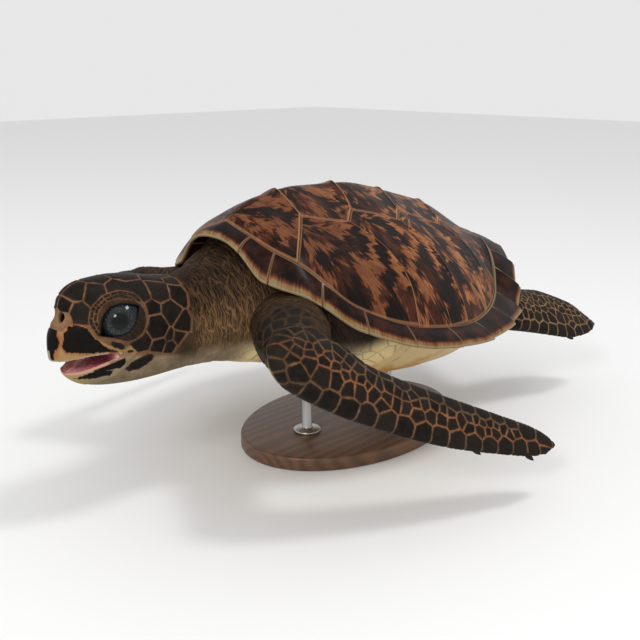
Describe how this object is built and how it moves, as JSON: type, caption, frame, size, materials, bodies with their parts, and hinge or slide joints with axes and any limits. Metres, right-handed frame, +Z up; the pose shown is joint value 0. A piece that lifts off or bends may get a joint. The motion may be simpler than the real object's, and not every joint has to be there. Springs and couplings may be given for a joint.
{
  "type": "hawksbill sea turtle model",
  "caption": "Life-size young hawksbill sea turtle swimming with its front flippers swept back, overlapping shell plates and a hooked beak, held on rods over an oval stand.",
  "frame": {"origin": "centre of the underside of the stand's oval base", "axes": "+Z up; the turtle looks along -Y; its left side is +X"},
  "size_m": [0.5644, 0.7315, 0.3066],
  "materials": {
    "skin": "dark brown scales with thin tan seams, satin",
    "scute": "horn plates, dark brown with amber and red-brown streaks, polished",
    "marginal": "horn plates, nearly black with cream outer edges, polished",
    "plastron": "cream-yellow horn, satin",
    "eye": "wet, dark blue-grey and grey-green",
    "wood": "dark oiled hardwood",
    "metal": "brushed"
  },
  "bodies": {
    "root": {"vertebral_1": "scute", "vertebral_2": "scute", "vertebral_3": "scute", "vertebral_4": "scute", "vertebral_5": "scute", "costal_left_1": "scute", "costal_right_1": "scute", "costal_left_2": "scute", "costal_right_2": "scute", "costal_left_3": "scute", "costal_right_3": "scute", "costal_left_4": "scute", "costal_right_4": "scute", "nuchal": "marginal", "marginal_left_1": "marginal", "marginal_right_1": "marginal", "marginal_left_2": "marginal", "marginal_right_2": "marginal", "marginal_left_3": "marginal", "marginal_right_3": "marginal", "marginal_left_4": "marginal", "marginal_right_4": "marginal", "marginal_left_5": "marginal", "marginal_right_5": "marginal", "marginal_left_6": "marginal", "marginal_right_6": "marginal", "marginal_left_7": "marginal", "marginal_right_7": "marginal", "marginal_left_8": "marginal", "marginal_right_8": "marginal", "marginal_left_9": "marginal", "marginal_right_9": "marginal", "marginal_left_10": "marginal", "marginal_right_10": "marginal", "marginal_left_11": "marginal", "marginal_right_11": "marginal", "marginal_left_12": "marginal", "marginal_right_12": "marginal", "plastron": "plastron", "eye_left": "eye", "eye_right": "eye", "head": "skin", "lower_jaw": "skin", "neck": "skin", "trunk": "skin", "tail": "skin", "flipper_front_left": "skin", "flipper_front_right": "skin", "flipper_hind_left": "skin", "flipper_hind_right": "skin", "stand_base": "wood", "stand_rod_front": "metal", "stand_rod_rear": "metal"}
  },
  "joints": []
}
